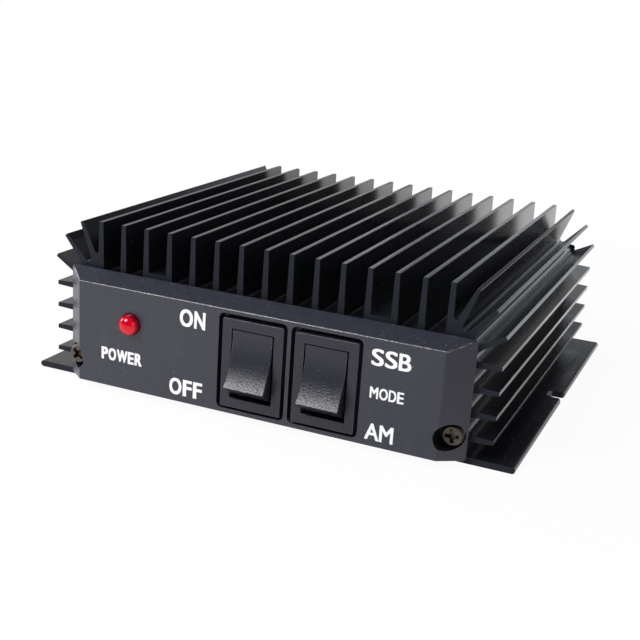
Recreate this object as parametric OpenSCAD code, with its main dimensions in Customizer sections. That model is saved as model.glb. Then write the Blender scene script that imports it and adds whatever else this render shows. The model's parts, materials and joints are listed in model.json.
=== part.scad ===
// Mobile HF linear amplifier: a finned aluminium extrusion with moulded end panels.
// X runs across the front, Y from the front panel to the rear, Z up. The origin is the
// centre of the underside.

/* [Heatsink] */
// Length of the finned extrusion
sink_len = 98; // [98:1:110]
// Half width over the side walls, without their fins
wall_x = 49.2; // [49:0.1:49.4]
// Height of the tips of the upright fins
fin_top = 39.4; // [38.5:0.1:42]
// Height of the floor between the upright fins
floor_z = 27.1; // [26.8:0.1:27.6]
// Height of the thicker floor over the transistors
thick_floor_z = 29.15; // [28.8:0.05:30]
// Height of the ceiling of the electronics bay
ceiling_z = 23.8; // [23.8:0.1:24]
// Distance from one upright fin to the next
fin_pitch = 6.156; // [6.1:0.002:6.2]
// Thickness of a fin at its root
fin_root_t = 1.6; // [1.4:0.05:1.8]
// Thickness of an upright fin at its tip
fin_tip_t = 1.1; // [0.9:0.05:1.3]
// Half width over the tips of the level side fins
side_tip_x = 55.3; // [54:0.1:56.5]
// Height of the lowest side fin
side_fin_z = 5.95; // [5.8:0.05:6.2]
// Distance from one side fin to the next
side_pitch = 5.567; // [5.5:0.001:5.6]
// Half width over the mounting flanges
flange_x = 60.6; // [60:0.1:64]
// Thickness of the mounting flanges
flange_t = 1.5; // [1.2:0.1:2]
// Width of the notch in each mounting flange
notch_w = 4.4; // [4.3:0.1:5]

/* [End panels] */
// How far each end panel stands out from the extrusion
panel_rise = 6.3; // [6:0.1:7]
// Half width of the flat face
face_x = 44.83; // [44.5:0.01:45]
// Bottom of the flat face
face_z0 = 1.75; // [1.5:0.05:2]
// Top of the flat face
face_z1 = 26.3; // [26:0.05:26.5]
// Half width of the panel at its rear edge
rim_x = 50.1; // [49.9:0.1:50.4]
// Bottom of the panel at its rear edge
rim_z0 = 1.1; // [1:0.1:1.3]
// Top of the panel at its rear edge
rim_z1 = 28.5; // [28.3:0.1:28.8]
// Wall thickness
panel_t = 1.8; // [1.6:0.1:2]
// Shadow gap between the panel's rear edge and the extrusion
shadow_gap = 1.4; // [1:0.1:1.6]
// Screw centre, measured from the middle
screw_x = 46.95; // [46.9:0.05:47]
// Height of the screw centre
screw_z = 6.95; // [6.9:0.05:7]
// Radius of the counterbore round a screw head
counterbore_r = 3; // [2.9:0.05:3.1]

/* [Switches] */
// Centre of the power switch
power_x = 0.6; // [0.4:0.1:0.8]
// Distance between the two switches
switch_pitch = 17.7; // [17.6:0.1:18]
// Height of the switch centres
switch_z = 13.84; // [13.8:0.01:13.9]
// Width of a switch bezel
bezel_w = 15; // [14.8:0.1:15.2]
// Height of a switch bezel
bezel_h = 21; // [20.8:0.1:21.2]
// Tilt of a rocker either side of level
rocker_tilt = 16.5; // [12:0.5:16.5]

/* [Lamp] */
// Lamp centre, across
lamp_x = -30.8; // [-32:0.1:-29]
// Lamp centre, height
lamp_z = 18.2; // [17.8:0.1:18.4]
// Radius of the lamp
lamp_r = 2.5; // [2.4:0.1:2.6]

/* [Rear sockets] */
// Distance of each aerial socket from the middle
socket_x = 27; // [25:0.5:28]
// Height of the sockets and the grommet
socket_z = 14.1; // [13.8:0.1:14.4]
// Radius of the outside thread of a socket, five eighths of an inch across
socket_thread_r = 7.94; // [7.9:0.01:7.98]
// Length of that thread
socket_thread_len = 11; // [10:0.5:12]
// Radius of the hole in a centre contact
contact_bore_r = 2; // [1.95:0.01:2.05]

/* [Hidden] */
$fn = 48;

half_len = sink_len / 2;
face_y = half_len + panel_rise;
rim_y = half_len + shadow_gap;
panel_depth = face_y - rim_y;
over = 0.5;

// Upright, fanned and side fins
fin_count = 15;
edge_fin_x = fin_pitch * (fin_count - 1) / 2;
fin_height = fin_top - floor_z;
thick_gaps = [2, fin_count - 4];
root_fillet_r = 0.7;
side_fin_count = 4;
side_tip_t = 1;
fan_angles = [23, 41, 60.5];
fan_tips = [[48.55, 38.75], [52.95, 34.9], [55.5, 29.5]];
fan_len = 7.4;
fan_root_t = 1.55;
fan_tip_t = 0.85;
gap_radii = [0.5, 0.8, 1.2, 0.7];
gap_steps = 8;
gap_bite = 0.02;

// Electronics bay and its rails
wall_t = 3;
bay_x = wall_x - wall_t;
rail_x = 41.8;
rail_top = 10.2;
cover_t = 1.2;
cover_x = 47.6;
cover_gap = 0.2;
cover_screw_x = 44.2;
cover_screw_y = [-30, 0, 30];

cover_thread_depth = 8;
roof_thread_depth = 4.4;

// Metric fasteners: thread, its threaded and clearance holes, pan head and cross recess
thread_r = 1.45;
thread_hole_r = 1.5;
clear_hole_r = 1.6;
head_r = 2.5;
head_h = 2;
head_side_h = 1.2;
head_top_r = 2.1;
end_screw_len = 11;
end_screw_depth = 12;
end_screw_turns = [45, 4];
end_screw_lifts = [0.5, 0];
seat_t = 1.3;
recess_w = 0.85;
recess_span = 3.1;
recess_core_r = 0.78;
recess_depth = 1.3;

// Countersunk screws of the bottom cover
sunk_r = 2.65;
sunk_h = 1;
sunk_len = 7;
sunk_gap = 0.15;
sunk_inset = 0.02;
sunk_recess = [2.2, 0.6, 0.7];

// Rear of an end panel: the lip that meets the extrusion, screw tubes and tongues
rim_corner_r = 1;
lip_x = 48.2;
lip_z0 = 1.6;
lip_z1 = 27.1;
lip_t = 1.8;
tube_wall = 1.4;
counterbore_x = 46.65;
tongue_z0 = 21.6;
tongue_gap = 0.4;
tongue_root_t = 1;
tongue_reach = 4;
front_tongues = [[-24, -12], [31, 43]];
rear_tongues = [[-13, -3], [3, 13]];

// Notch in a mounting flange
notch_end_x = 58.4;
notch_lip_r = 1;

// Rocker switches
mode_x = power_x + switch_pitch;
pocket_w = 16.7;
pocket_z0 = 2.85;
pocket_z1 = 25.4;
bezel_t = 2;
pocket_floor_t = 1.7;
pocket_corner_r = 1.3;
pocket_margin = 10;
bezel_corner_r = 0.4;
cutout_w = 13;
cutout_h = 19.2;
body_w = 12.8;
body_h = 18.8;
body_depth = 14.7;
well_x = 5.2;
well_z = 8.2;
cavity_z = 8.45;
well_lip_t = 1.2;
cavity_depth = 12.7;
rib_half_w = 3;
rib_z = 9.95;
rib_y = [3.8, 4.3, 7];
rocker_x = 4.88;
rocker_face_h = 6.53;
rocker_face_p = 6.13;
rocker_face_half_angle = 19;
rocker_face_r = rocker_face_h / sin(rocker_face_half_angle);
rocker_half_h = 8.03;
rocker_shoulder = 1.3;
rocker_back = 1;
rocker_hollow_x = 3.5;
rocker_hollow_z = 6;
rocker_skin_y = -3.2;
pivot_depth = 4.03;
pivot_y = -face_y + pivot_depth;
pivot_pin_r = 1.2;
pivot_hole_r = 1.25;
pivot_pin_x = 5.9;
pivot_hole_x = 6.05;
plunger_r = 1.2;
plunger_reach = 5.4;
plunger_boss_r = 2;
plunger_boss_end = 2.8;
plunger_gap = 0.05;
plunger_start = 1.6;
spring_start = -1.2;
spring_wall = 0.5;
contact_depth = 9.82;
contact_y = -face_y + contact_depth;
contact_tilt = 10;
contact_t = 0.5;
contact_h = 14;
contact_w = 4;
contact_boss_x = 1.3;
contact_boss_r = 0.5;
terminal_w = 4.8;
terminal_t = 0.8;
terminal_z = 6.5;
terminal_end = 22;
slot_half_w = terminal_w / 2 + 0.1;
slot_half_t = terminal_t / 2 + 0.1;
middle_terminal_start = 10.4;
outer_terminal_start = 11.6;
terminal_pad_r = 1.2;
switch_wire_y = -28;
switch_wire_step = 2.5;

// Lamp and its boss
lamp_tip_y = -face_y - 2.7;
lamp_len = 8.6;
lamp_flange_r = 2.9;
lamp_flange_t = 1;
lamp_boss_r = 4;
lamp_hole_gap = 0.1;
lamp_lead_gap = 1.27;
lamp_lead_r = 0.45;
lamp_lead_y = [-35, -29.5, -28];
lamp_lead_z = 20.2;

// Circuit board and what is on it
board_x = 40.5;
board_y0 = -30;
board_y1 = 38;
board_z0 = 17;
board_t = 1.6;
board_z1 = board_z0 + board_t;
spacer_af = 5.5;
spacer_places = [[-37.5, -26], [37.5, -26], [-37.5, 12], [37.5, 12]];
spacer_stud = 2.5;
spacer_bore = 4;
board_screw_len = 4.8;
transistor_x = 27.7;
transistor_y = 12;
tab_t = 1.3;
pad_t = 0.3;
tab_w = 10;
tab_hole_to_end = 2.8;
tab_hole_to_body = 3.5;
epoxy_len = 9.2;
epoxy_t = 4.5;
tab_hole_r = 1.8;
pad_margin = 0.5;
leg_pitch = 2.54;
leg_w = 0.7;
leg_t = 0.5;
leg_reach = 3;
leg_drop = 2.4;
leg_end = 1;
leg_hole_r = 0.6;
leg_x = transistor_x - tab_hole_to_body - epoxy_len - leg_reach + leg_t / 2;
transistor_screw_len = 5.8;
access_hole_r = 3.6;
tube_lift = 0.6;
tube_gap = 0.1;
tube_bore_share = 0.45;
bar_share = 0.42;
end_bar_t = 1;
end_bar_gap = 0.5;
input_tubes = [-21, -9, 4];
output_tubes = [3, 27, 5.4];
choke_place = [-33, -1];
choke_ring_r = 4.4;
choke_wire_r = 2.6;
choke_lead_r = 0.6;
relay_x = 34;
relay_y = 17;
relay_size = [10, 20.4, 11.2];
relay_lift = 0.2;
relay_pin_x = 3.8;
relay_pin_y = [2, 7, 12, 17.5];
relay_pin_r = 0.4;
electrolytics = [[30.5, -23.5, 11.4], [35.5, -2, 11.4]];
electrolytic_r = 4;
capacitor_lift = 0.2;
capacitor_lead_x = 1.25;
capacitor_lead_r = 0.3;
coil_x = 17.5;
coil_y = [20, 30];
coil_r = 3;
coil_bore_r = 2;
coil_drop = 3.4;
coil_lead_half = 0.4;
micas = [[-18, 8], [18, 8], [-18, -5], [18, -5], [14, -24], [-8, -25]];
mica_size = [6, 3, 6];
resistor_xs = [-23.5, -20.5, 20.5, 23.5];
resistor_y = [-21, -14.5];
resistor_r = 1.1;
resistor_drop = 1.6;
resistor_lead = 1.5;
resistor_lead_r = 0.3;
fuse_x = [-34, -14];
fuse_y = -25.8;
fuse_r = 2.6;
fuse_drop = 4.2;
clip_xs = [-33.5, -18.5];
clip_len = 4;
clip_half_w = 3.2;
clip_t = 0.5;
clip_base_t = 1.2;
clip_h = 6.4;

// Aerial sockets
socket_flange_r = 9.3;
socket_flange_t = 2.3;
socket_mouth_y = face_y + socket_flange_t + socket_thread_len;
socket_mouth_r = 6.15;
socket_mouth_depth = 10;
socket_neck_r = 6.3;
socket_neck_end = 44.8;
socket_bore_r = 4.6;
socket_hole_r = 6.4;
insulator_gap = 0.05;
insulator_end = socket_mouth_y - 1.6;
contact_setback = 2;
contact_r = 2.8;
contact_tail_r = 1.4;
contact_end = 41.5;
socket_wire_y = 35;
socket_wire_r = 0.6;
washer_r = 8.5;
washer_t = 0.8;
nut_af = 16;
nut_t = 2.8;
nut_gap = 0.05;
washer_gap = 0.1;

// Grommet for the supply lead
grommet_r = 6.2;
grommet_waist_r = 5;
grommet_bore_r = 2.9;
grommet_lip = 1.5;
grommet_squeeze = 0.05;

wire_r = 0.75;
bead_share = 1.3;

// Directions along and across a fin that leans out by an angle
function lean(a) = [sin(a), cos(a)];
function across(a) = [cos(a), -sin(a)];
function turn_of(u, v) = u[0] * v[1] - u[1] * v[0];
function meet(p, u, q, v) = p + u * turn_of(q - p, v) / turn_of(u, v);

// Rounded bottom of the gap between two fin sides, each given by a point on it and its lean
function gap_bottom(p, a, q, b, r) =
    let (centre = meet(p + r * across(a), lean(a), q - r * across(b), lean(b)))
    [for (i = [0:gap_steps])
        let (angle = 180 - a + (180 + a - b) * i / gap_steps)
        centre + r * [cos(angle), sin(angle)]];

// Outline of the three fanned fins, from the last upright fin round to the side wall
fin_taper = atan((fin_root_t - fin_tip_t) / fin_height / 2);
fan_taper = atan((fan_root_t - fan_tip_t) / fan_len / 2);
function fan_corner(i, way) = fan_tips[i] + way * fan_tip_t / 2 * across(fan_angles[i]);
function fan_tip(i) = [fan_corner(i, -1), fan_corner(i, 1)];
function fan_gap(i) = gap_bottom(
    fan_corner(i - 1, 1), fan_angles[i - 1] - fan_taper,
    fan_corner(i, -1), fan_angles[i] + fan_taper, gap_radii[i]);
fan_outline = concat(
    gap_bottom([edge_fin_x + fin_tip_t / 2 - gap_bite, fin_top], -fin_taper,
               fan_corner(0, -1), fan_angles[0] + fan_taper, gap_radii[0]),
    fan_tip(0), fan_gap(1), fan_tip(1), fan_gap(2), fan_tip(2),
    gap_bottom(fan_corner(2, 1), fan_angles[2] - fan_taper, [wall_x, 0], 180, gap_radii[3]));

function backwards(p) = [for (i = [len(p) - 1:-1:0]) p[i]];
function both_sides(p) = concat(p, [for (q = backwards(p)) [-q[0], q[1]]]);

// A flat outline in X and Z, drawn out from y0 to y1
module along_y(y0, y1) {
    translate([0, y1, 0]) rotate([90, 0, 0]) linear_extrude(y1 - y0) children();
}

// A flat outline in Y and Z, drawn out from x0 to x1
module along_x(x0, x1) {
    translate([x0, 0, 0]) rotate([90, 0, 90]) linear_extrude(x1 - x0) children();
}

module rod_y(x, z, y0, y1, r) {
    along_y(y0, y1) translate([x, z]) circle(r);
}

module rod_x(y, z, x0, x1, r) {
    along_x(x0, x1) translate([y, z]) circle(r);
}

module rod_z(x, y, z0, z1, r) {
    translate([x, y, z0]) cylinder(h = z1 - z0, r = r);
}

module box(low, high) {
    translate(low) cube(high - low);
}

module rounded_rect(x0, z0, x1, z1, r) {
    translate([x0 + r, z0]) square([x1 - x0 - 2 * r, z1 - z0]);
    translate([x0, z0 + r]) square([x1 - x0, z1 - z0 - 2 * r]);
    for (x = [x0 + r, x1 - r], z = [z0 + r, z1 - r]) translate([x, z]) circle(r);
}

module hexagon(across_flats) {
    circle(r = across_flats / sqrt(3), $fn = 6);
}

// A wire through points, with a bead at each bend
module wire(points, r) {
    $fn = 16;
    for (i = [1:len(points) - 1]) {
        from = points[i - 1];
        run = points[i] - from;
        translate(from)
            rotate([0, acos(run[2] / norm(run)), atan2(run[1], run[0])])
                cylinder(h = norm(run), r = r);
    }
    for (i = [1:len(points) - 2]) translate(points[i]) sphere(r * bead_share);
}

// A pan head screw whose head stands at z = 0 upwards, with its thread below
module pan_screw(thread_len, turn = 0) {
    difference() {
        union() {
            translate([0, 0, -thread_len]) cylinder(h = thread_len, r = thread_r);
            cylinder(h = head_side_h, r = head_r);
            translate([0, 0, head_side_h])
                cylinder(h = head_h - head_side_h, r1 = head_r, r2 = head_top_r);
        }
        for (a = [turn, turn + 90]) rotate([0, 0, a])
            translate([-recess_span / 2, -recess_w / 2, head_h - recess_depth])
                cube([recess_span, recess_w, recess_depth + over]);
        translate([0, 0, head_h - recess_depth]) cylinder(h = recess_depth + over, r = recess_core_r);
    }
}

// One tapered fin standing on y = 0, with a fillet on each side of its root
module fin(root_t, tip_t, height) {
    bed = 1;
    flare = (root_t - tip_t) / height / 2;
    polygon([
        [-root_t / 2 - flare * bed, -bed], [root_t / 2 + flare * bed, -bed],
        [tip_t / 2, height], [-tip_t / 2, height]
    ]);
    for (side = [0, 1]) mirror([side, 0]) translate([root_t / 2, 0]) difference() {
        inset = root_t / 4;
        translate([-inset, -bed]) square([root_fillet_r + inset, root_fillet_r + bed]);
        translate([root_fillet_r, root_fillet_r]) circle(root_fillet_r);
        translate([root_fillet_r, 0]) square(root_fillet_r);
    }
}

module upright_fins() {
    for (i = [0:fin_count - 1]) translate([fin_pitch * i - edge_fin_x, floor_z])
        fin(fin_root_t, fin_tip_t, fin_height);
    for (i = thick_gaps) translate([fin_pitch * i - edge_fin_x, floor_z - over])
        square([fin_pitch, thick_floor_z - floor_z + over]);
}

module side_fins() {
    for (i = [0:side_fin_count - 1]) translate([wall_x, side_fin_z + side_pitch * i])
        rotate(-90) fin(fin_root_t, side_tip_t, side_tip_x - wall_x);
}

module flange() {
    translate([wall_x - over, 0]) square([flange_x - flange_t / 2 - wall_x + over, flange_t]);
    translate([flange_x - flange_t / 2, flange_t / 2]) circle(flange_t / 2);
}

module heatsink_section() {
    difference() {
        union() {
            polygon(both_sides(concat([[wall_x, 0]], backwards(fan_outline), [[edge_fin_x, floor_z]])));
            upright_fins();
            for (side = [0, 1]) mirror([side, 0]) {
                side_fins();
                flange();
            }
        }
        polygon(both_sides([
            [cover_x, -over], [cover_x, cover_t], [rail_x, cover_t], [rail_x, rail_top],
            [bay_x, rail_top], [bay_x, ceiling_z]
        ]));
    }
}

// An open notch with a round end and rounded lips, for a screw
module flange_notch() {
    half = notch_w / 2;
    translate([notch_end_x, 0]) circle(half);
    translate([notch_end_x, -half]) square([flange_x - notch_end_x + over, notch_w]);
    for (side = [0, 1]) mirror([0, side]) translate([flange_x - notch_lip_r, half]) difference() {
        square([notch_lip_r + over, notch_lip_r]);
        translate([0, notch_lip_r]) circle(notch_lip_r);
    }
}

module heatsink() {
    color("#1c1d21") difference() {
        along_y(-half_len, half_len) heatsink_section();
        for (side = [0, 1]) mirror([side, 0, 0]) {
            translate([0, 0, -over]) linear_extrude(flange_t + 2 * over) flange_notch();
            for (y = cover_screw_y) rod_z(cover_screw_x, y, 0, cover_thread_depth, thread_hole_r);
            for (end = [0, 1]) mirror([0, end, 0])
                rod_y(screw_x, screw_z, half_len - end_screw_depth, half_len + over, thread_hole_r);
            for (y = [-transistor_y, transistor_y])
                rod_z(transistor_x, y, ceiling_z - over, ceiling_z + roof_thread_depth, thread_hole_r);
        }
        for (p = spacer_places)
            rod_z(p[0], p[1], ceiling_z - over, ceiling_z + spacer_stud + plunger_gap, thread_hole_r);
    }
}

// The solid outside of an end panel, face towards -Y, with all its sides bevelled
module panel_block() {
    intersection() {
        linear_extrude(rim_z1 + over)
            polygon([[-face_x, -face_y], [face_x, -face_y], [rim_x, -rim_y], [-rim_x, -rim_y]]);
        along_x(-rim_x - over, rim_x + over)
            polygon([[-face_y, face_z0], [-face_y, face_z1], [-rim_y, rim_z1], [-rim_y, rim_z0]]);
        along_y(-face_y, -rim_y) rounded_rect(-rim_x, rim_z0, rim_x, rim_z1, rim_corner_r);
    }
}

// Inside of the bevelled shell, open at the back
module panel_hollow() {
    slope_x = (rim_x - face_x) / panel_depth;
    slope_top = (rim_z1 - face_z1) / panel_depth;
    slope_bottom = (face_z0 - rim_z0) / panel_depth;
    inset_x = panel_t * sqrt(1 + slope_x * slope_x);
    inset_top = panel_t * sqrt(1 + slope_top * slope_top);
    inset_bottom = panel_t * sqrt(1 + slope_bottom * slope_bottom);
    front = -face_y + bezel_t;
    back = -rim_y + over;
    run_front = bezel_t;
    run_back = panel_depth + over;
    intersection() {
        linear_extrude(rim_z1 + over) polygon(both_sides([
            [face_x + slope_x * run_front - inset_x, front],
            [face_x + slope_x * run_back - inset_x, back]
        ]));
        along_x(-rim_x, rim_x) polygon([
            [front, face_z0 - slope_bottom * run_front + inset_bottom],
            [front, face_z1 + slope_top * run_front - inset_top],
            [back, face_z1 + slope_top * run_back - inset_top],
            [back, face_z0 - slope_bottom * run_back + inset_bottom]
        ]);
    }
}

// The inner rim that meets the end of the extrusion, set back behind a shadow gap
module panel_lip() {
    along_y(-rim_y - over, -half_len) difference() {
        translate([-lip_x, lip_z0]) square([2 * lip_x, lip_z1 - lip_z0]);
        translate([-lip_x + lip_t, lip_z0 + lip_t])
            square([2 * (lip_x - lip_t), lip_z1 - lip_z0 - 2 * lip_t]);
    }
}

// The shell of an end panel with the tubes round its two screws
module end_panel() {
    difference() {
        union() {
            difference() {
                panel_block();
                panel_hollow();
            }
            panel_lip();
            intersection() {
                for (side = [-1, 1])
                    rod_y(side * counterbore_x, screw_z, -face_y, -half_len, counterbore_r + tube_wall);
                union() {
                    panel_block();
                    box([-lip_x, -rim_y - over, lip_z0], [lip_x, -half_len, lip_z1]);
                }
            }
        }
        for (side = [-1, 1]) {
            rod_y(side * counterbore_x, screw_z, -face_y - over, -half_len - seat_t, counterbore_r);
            rod_y(side * screw_x, screw_z, -half_len - seat_t - over, -half_len + over, clear_hole_r);
        }
    }
}

// A tongue that hooks under the roof of the extrusion
module panel_tongue(x0, x1) {
    root_y = -half_len - tongue_root_t;
    box([x0, root_y, tongue_z0], [x1, -half_len + tongue_reach, ceiling_z - tongue_gap]);
    box([x0, root_y, tongue_z0], [x1, -half_len, lip_z1 - lip_t + over]);
}

module front_panel() {
    color("#4a4a4f") difference() {
        union() {
            end_panel();
            intersection() {
                panel_block();
                box([power_x - pocket_margin, -face_y, 0],
                    [mode_x + pocket_margin, -face_y + bezel_t + pocket_floor_t, rim_z1]);
            }
            rod_y(lamp_x, lamp_z, -face_y + over, lamp_tip_y + lamp_len - lamp_flange_t, lamp_boss_r);
            for (t = front_tongues) panel_tongue(t[0], t[1]);
        }
        for (x = [power_x, mode_x]) {
            along_y(-face_y - over, -face_y + bezel_t)
                rounded_rect(x - pocket_w / 2, pocket_z0, x + pocket_w / 2, pocket_z1, pocket_corner_r);
            box([x - cutout_w / 2, -face_y, switch_z - cutout_h / 2],
                [x + cutout_w / 2, -rim_y, switch_z + cutout_h / 2]);
        }
        rod_y(lamp_x, lamp_z, -face_y - over, -half_len, lamp_r + lamp_hole_gap);
    }
}

module rear_panel() {
    color("#46464b") mirror([0, 1, 0]) difference() {
        union() {
            end_panel();
            for (t = rear_tongues) panel_tongue(t[0], t[1]);
        }
        for (side = [-1, 1])
            rod_y(side * socket_x, socket_z, -face_y - over, -half_len, socket_hole_r);
        rod_y(0, socket_z, -face_y - over, -half_len, grommet_waist_r);
    }
}

module bottom_cover() {
    color("#2a2b2f") difference() {
        box([-cover_x + cover_gap, -half_len, 0], [cover_x - cover_gap, half_len, cover_t]);
        for (x = [-cover_screw_x, cover_screw_x], y = cover_screw_y) translate([x, y, 0]) {
            translate([0, 0, -over]) cylinder(h = cover_t + 2 * over, r = clear_hole_r);
            translate([0, 0, -sunk_inset])
                cylinder(h = sunk_h + 4 * sunk_inset, r1 = sunk_r + sunk_gap, r2 = clear_hole_r);
        }
    }
}

module front_panel_screws() {
    color("#5a524a") for (i = [0, 1])
        translate([(2 * i - 1) * screw_x, -half_len - seat_t - end_screw_lifts[i], screw_z])
            rotate([90, 0, 0]) pan_screw(end_screw_len, end_screw_turns[i]);
}

module rear_panel_screws() {
    color("#5a524a") for (i = [0, 1])
        translate([(1 - 2 * i) * screw_x, half_len + seat_t, screw_z]) rotate([-90, 0, 0])
            pan_screw(end_screw_len, end_screw_turns[i]);
}

module bottom_cover_screws() {
    color("#3a3a3c") for (x = [-cover_screw_x, cover_screw_x], y = cover_screw_y)
        translate([x, y, 0]) difference() {
            union() {
                translate([0, 0, sunk_inset]) cylinder(h = sunk_len, r = thread_r);
                translate([0, 0, sunk_inset]) cylinder(h = sunk_h, r1 = sunk_r, r2 = thread_r);
            }
            for (a = [0, 90]) rotate([0, 0, a + x + y])
                translate([-sunk_recess[0] / 2, -sunk_recess[1] / 2, -over])
                    cube([sunk_recess[0], sunk_recess[1], over + sunk_recess[2]]);
        }
}

module power_lamp() {
    flange_y = lamp_tip_y + lamp_len;
    color("#d01018") {
        rod_y(lamp_x, lamp_z, lamp_tip_y + lamp_r, flange_y, lamp_r);
        rod_y(lamp_x, lamp_z, flange_y - lamp_flange_t, flange_y, lamp_flange_r);
        translate([lamp_x, lamp_tip_y + lamp_r, lamp_z]) rotate([90, 0, 0]) rotate_extrude()
            intersection() {
                circle(lamp_r);
                square(lamp_r);
            }
    }
}

module power_lamp_leads() {
    start = lamp_tip_y + lamp_len;
    color("#b8b8b4") for (side = [-1, 1]) {
        x = lamp_x + side * lamp_lead_gap;
        wire([
            [x, start, lamp_z], [x, lamp_lead_y[0], lamp_z], [x, lamp_lead_y[1], lamp_lead_z],
            [x, lamp_lead_y[2], lamp_lead_z], [x, lamp_lead_y[2], board_z1]
        ], lamp_lead_r);
    }
}

// The fixed case of a rocker switch: bezel, well, pivot holes, snap ribs and floor slots
module switch_housing(x) {
    translate([x, -face_y, switch_z]) difference() {
        union() {
            along_y(0, bezel_t)
                rounded_rect(-bezel_w / 2, -bezel_h / 2, bezel_w / 2, bezel_h / 2, bezel_corner_r);
            box([-body_w / 2, bezel_t - over, -body_h / 2], [body_w / 2, body_depth, body_h / 2]);
            for (side = [0, 1]) mirror([0, 0, side]) along_x(-rib_half_w, rib_half_w) polygon([
                [rib_y[0], body_h / 2 - over], [rib_y[0], rib_z], [rib_y[1], rib_z],
                [rib_y[2], body_h / 2 - over]
            ]);
        }
        box([-well_x, -over, -well_z], [well_x, well_lip_t + over, well_z]);
        box([-well_x, well_lip_t, -cavity_z], [well_x, cavity_depth, cavity_z]);
        rod_x(pivot_depth, 0, -pivot_hole_x, pivot_hole_x, pivot_hole_r);
        for (z = [-terminal_z, 0, terminal_z]) box(
            [-slot_half_w, cavity_depth - over, z - slot_half_t],
            [slot_half_w, body_depth + over, z + slot_half_t]);
    }
}

// Places what turns with a rocker: local origin on its pivot, tilted to its rest position
module at_pivot(x) {
    translate([x, pivot_y, switch_z]) rotate([-rocker_tilt, 0, 0]) children();
}

// The rocker: a block with sloping ends and a dished face, hollow behind, on two pins
module switch_rocker(x) {
    at_pivot(x) {
        difference() {
            along_x(-rocker_x, rocker_x) difference() {
                polygon([
                    [-rocker_face_p, -rocker_face_h], [-rocker_face_p, rocker_face_h],
                    [-rocker_shoulder, rocker_half_h], [rocker_back, rocker_half_h],
                    [rocker_back, -rocker_half_h], [-rocker_shoulder, -rocker_half_h]
                ]);
                translate([-rocker_face_p - rocker_face_r * cos(rocker_face_half_angle), 0])
                    circle(rocker_face_r, $fn = 96);
            }
            difference() {
                box([-rocker_hollow_x, rocker_skin_y, -rocker_hollow_z],
                    [rocker_hollow_x, rocker_back + over, rocker_hollow_z]);
                rod_y(0, 0, rocker_skin_y - over, rocker_back + over, plunger_boss_r);
            }
            rod_y(0, 0, spring_start, rocker_back + over, plunger_r + plunger_gap);
        }
        for (side = [0, 1]) mirror([side, 0, 0]) rod_x(0, 0, rocker_x - over, pivot_pin_x, pivot_pin_r);
        difference() {
            rod_y(0, 0, rocker_back - over, plunger_boss_end, plunger_boss_r);
            rod_y(0, 0, rocker_back - 2 * over, plunger_boss_end + over, plunger_r + plunger_gap);
        }
    }
}

// The pin that the rocker carries down onto the see-saw contact
module switch_plunger(x) {
    at_pivot(x) {
        rod_y(0, 0, plunger_start, plunger_reach - plunger_r, plunger_r);
        translate([0, plunger_reach - plunger_r, 0]) sphere(plunger_r);
    }
}

// The spring behind the pin, pressed short
module switch_spring(x) {
    at_pivot(x) difference() {
        rod_y(0, 0, spring_start, plunger_start, plunger_r - plunger_gap);
        rod_y(0, 0, spring_start - over, plunger_start + over, plunger_r - plunger_gap - spring_wall);
    }
}

module switch_contact(x) {
    translate([x, contact_y, switch_z]) rotate([contact_tilt, 0, 0]) {
        box([-contact_w / 2, -contact_t / 2, -contact_h / 2], [contact_w / 2, contact_t / 2, contact_h / 2]);
        for (side = [0, 1]) mirror([side, 0, 0])
            rod_x(0, 0, contact_boss_x, contact_w / 2, contact_boss_r);
    }
}

module switch_terminals(x) {
    translate([x, -face_y, switch_z]) {
        box([-terminal_w / 2, middle_terminal_start, -terminal_t / 2],
            [terminal_w / 2, terminal_end, terminal_t / 2]);
        for (z = [-terminal_z, terminal_z]) {
            box([-terminal_w / 2, outer_terminal_start, z - terminal_t / 2],
                [terminal_w / 2, terminal_end, z + terminal_t / 2]);
            rod_y(0, z, outer_terminal_start, cavity_depth - plunger_gap, terminal_pad_r);
        }
    }
}

// Insulated wires from the ends of the terminals, straight back and then onto the circuit board
module switch_wires(x, heights) {
    start = -face_y + terminal_end;
    for (height = heights) {
        z = switch_z + height;
        landing_y = switch_wire_y + (height < 0 ? switch_wire_step : 0);
        landing_z = z > board_z1 ? board_z1 : board_z0;
        wire([[x, start, z], [x, landing_y, z], [x, landing_y, landing_z]], wire_r);
    }
}

module power_switch_housing() {
    color("#2b2b2e") switch_housing(power_x);
}

module power_switch_rocker() {
    color("#3a3a3e") switch_rocker(power_x);
}

module power_switch_plunger() {
    color("#e8e4d8") switch_plunger(power_x);
}

module power_switch_spring() {
    color("#b0b0b0") switch_spring(power_x);
}

module power_switch_contact() {
    color("#c08a50") switch_contact(power_x);
}

module power_switch_terminals() {
    color("#c8a860") switch_terminals(power_x);
}

module power_switch_wires() {
    color("#a01818") switch_wires(power_x, [-terminal_z, 0]);
}

module mode_switch_housing() {
    color("#2b2b2e") switch_housing(mode_x);
}

module mode_switch_rocker() {
    color("#3a3a3e") switch_rocker(mode_x);
}

module mode_switch_plunger() {
    color("#e8e4d8") switch_plunger(mode_x);
}

module mode_switch_spring() {
    color("#b0b0b0") switch_spring(mode_x);
}

module mode_switch_contact() {
    color("#c08a50") switch_contact(mode_x);
}

module mode_switch_terminals() {
    color("#c8a860") switch_terminals(mode_x);
}

module mode_switch_wires() {
    color("#1848a0") switch_wires(mode_x, [-terminal_z, 0, terminal_z]);
}

// Aerial socket: threaded shell with a round flange outside the rear panel
module socket_shell(x) {
    difference() {
        union() {
            rod_y(x, socket_z, socket_neck_end, socket_mouth_y - over, socket_neck_r);
            rod_y(x, socket_z, face_y, face_y + socket_flange_t, socket_flange_r);
            rod_y(x, socket_z, face_y + socket_flange_t - over, socket_mouth_y, socket_thread_r);
        }
        rod_y(x, socket_z, socket_mouth_y - socket_mouth_depth, socket_mouth_y + over, socket_mouth_r);
        rod_y(x, socket_z, socket_neck_end - over, socket_mouth_y, socket_bore_r);
    }
}

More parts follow.
